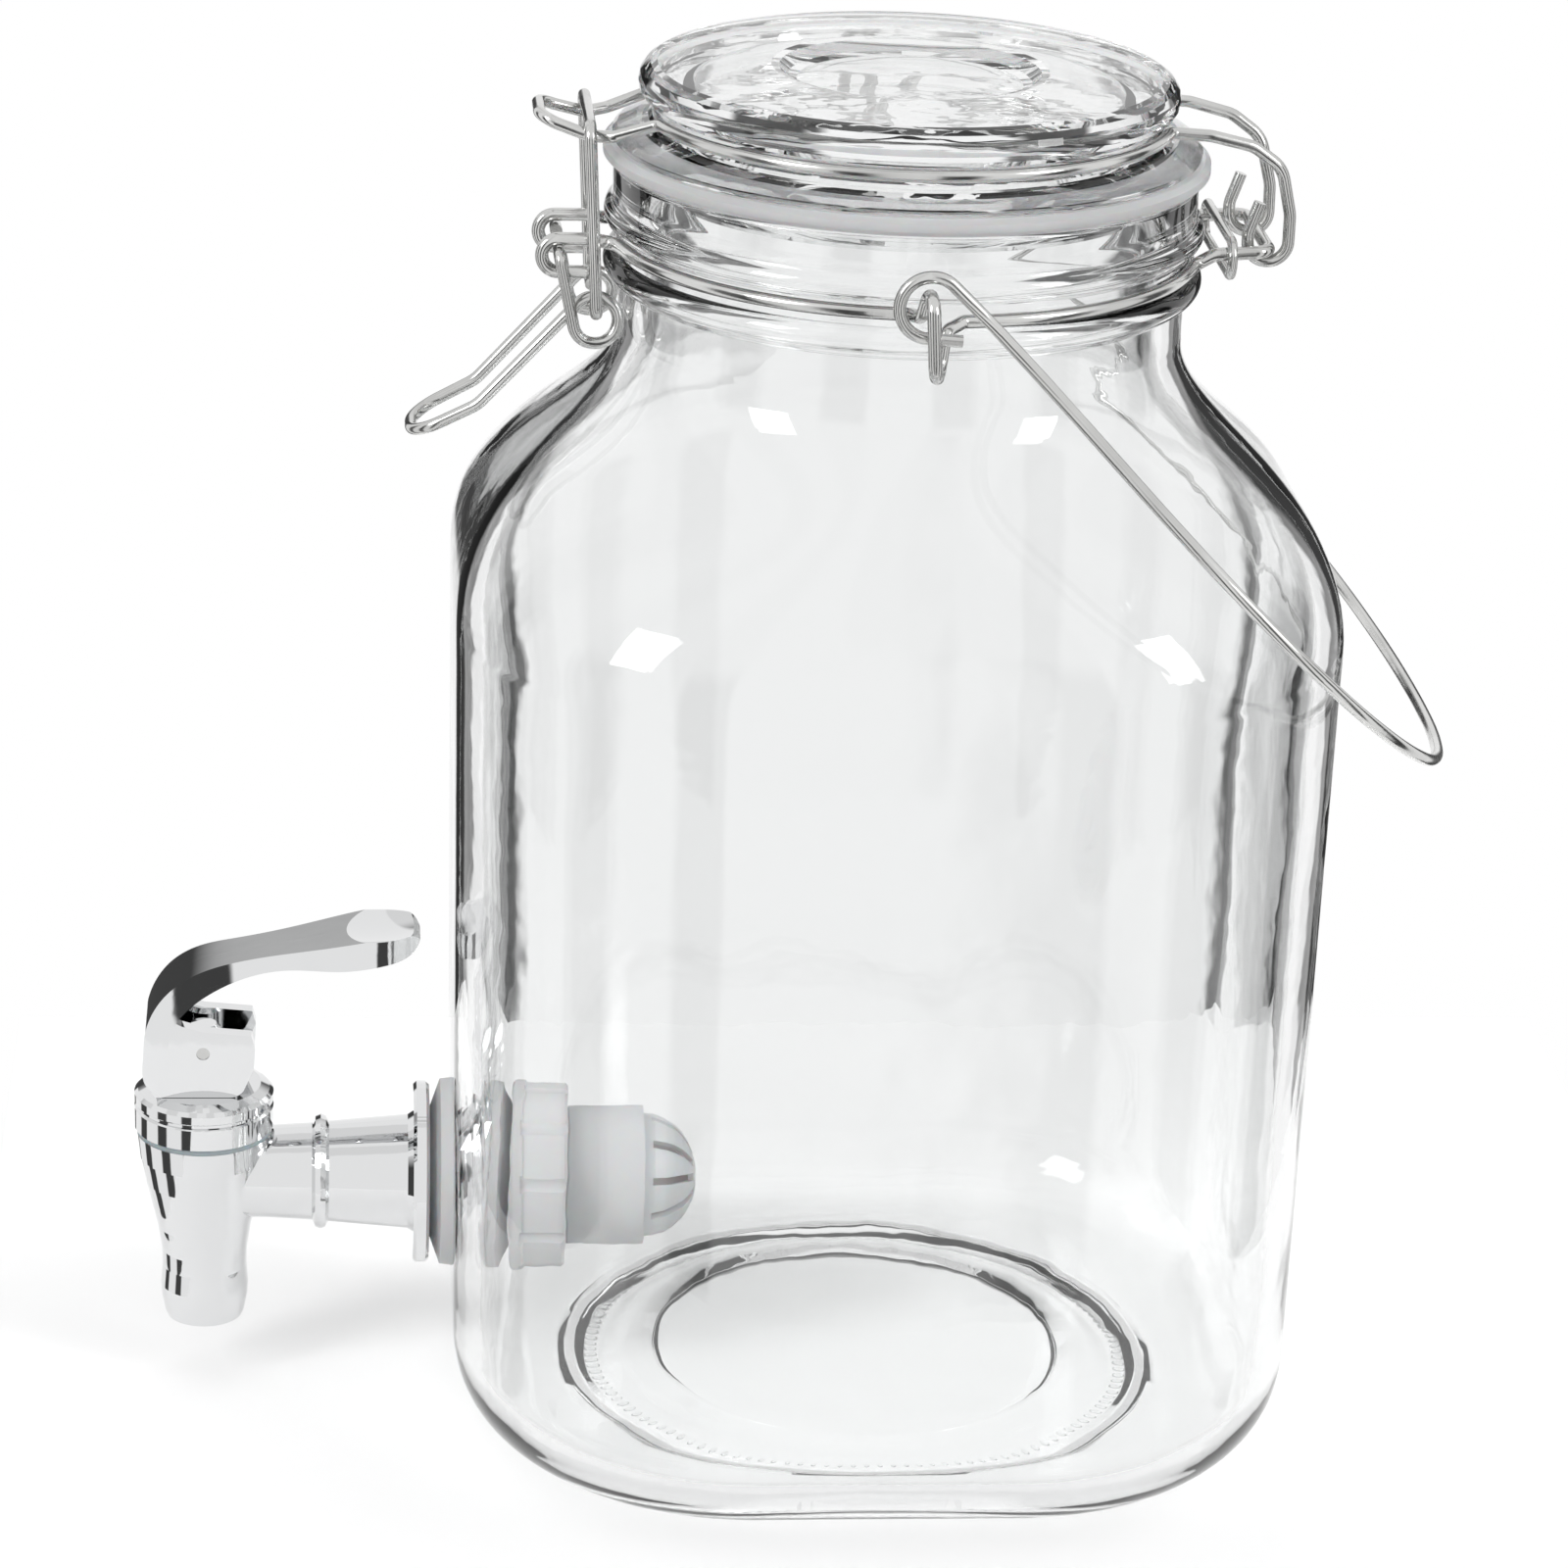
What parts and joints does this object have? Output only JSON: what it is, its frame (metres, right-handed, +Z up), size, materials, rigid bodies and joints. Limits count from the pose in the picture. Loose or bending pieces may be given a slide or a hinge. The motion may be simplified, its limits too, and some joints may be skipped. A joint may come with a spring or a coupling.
{
  "type": "clip-top glass dispenser jar",
  "caption": "Clear glass jar with a wire clamp lid, a swinging wire carrying handle and a chrome lever tap low on one side.",
  "frame": {"origin": "centre of the foot ring, on the surface the jar stands on", "axes": "+Z up; -Y towards the tap and the clamp; +Y towards the lid hinge; X along the lid hinge and the handle's pivots"},
  "size_m": [0.1772, 0.2399, 0.2574],
  "materials": {
    "glass_clear": "clear pressed soda glass, slightly wavy",
    "silicone_lid": "translucent silicone",
    "wire_steel": "drawn stainless wire, polished",
    "tap_chrome": "mirror chrome plate on moulded plastic",
    "silicone_grey": "translucent silicone",
    "plastic_white": "milky translucent polypropylene"
  },
  "bodies": {
    "jar": {"jar_body": "glass_clear", "neck_wire": "wire_steel", "hinge_tie_ring": "wire_steel", "tap_body": "tap_chrome", "bonnet_seal": "silicone_grey", "tap_bonnet": "tap_chrome", "return_spring": "wire_steel", "outer_gasket": "silicone_grey", "inner_gasket": "silicone_grey", "shank_nut": "plastic_white", "strainer_sleeve": "plastic_white", "strainer_dome": "plastic_white"},
    "lid": {"lid": "glass_clear", "lid_gasket": "silicone_lid", "lid_wire": "wire_steel"},
    "clamp": {"clamp_lever": "wire_steel"},
    "link": {"clamp_link": "wire_steel"},
    "handle": {"carry_handle": "wire_steel"},
    "stem": {"valve_stem": "tap_chrome", "seat_cup": "silicone_grey"},
    "lever": {"tap_lever": "tap_chrome", "lever_pin": "wire_steel"}
  },
  "joints": [
    {"name": "lid_hinge", "type": "hinge", "parent": "jar", "child": "lid", "pos_m": [0, 0.0645, 0.228], "axis": [-1, 0, 0], "range_deg": [0, 110], "deforming": ["clamp_link"]},
    {"name": "clamp_lever_pivot", "type": "hinge", "parent": "jar", "child": "clamp", "pos_m": [0, -0.0622, 0.2249], "axis": [-1, 0, 0], "range_deg": [0, 115], "deforming": ["clamp_link"]},
    {"name": "clamp_link_pivot", "type": "hinge", "parent": "clamp", "child": "link", "pos_m": [0, -0.0556, 0.21465], "axis": [1, 0, 0], "range_deg": [0, 150], "deforming": ["clamp_link"]},
    {"name": "handle_swing", "type": "hinge", "parent": "jar", "child": "handle", "pos_m": [0, -0.0013, 0.2296], "axis": [1, 0, 0], "range_deg": [0, 215]},
    {"name": "valve_lift", "type": "slide", "parent": "jar", "child": "stem", "axis": [0, 0, 1], "range_m": [0, 0.002], "deforming": ["return_spring"]},
    {"name": "tap_press", "type": "hinge", "parent": "stem", "child": "lever", "pos_m": [0, -0.1256, 0.069], "axis": [-1, 0, 0], "range_deg": [0, 25], "stiffness_Nm_per_rad": 0.4, "springref_deg": -14.32, "deforming": ["return_spring"]}
  ],
  "couplings": [
    {"joint": "clamp_link_pivot", "follows": "clamp_lever_pivot", "ratio": 1.25},
    {"joint": "valve_lift", "follows": "tap_press", "m_per_rad": 0.0043}
  ]
}
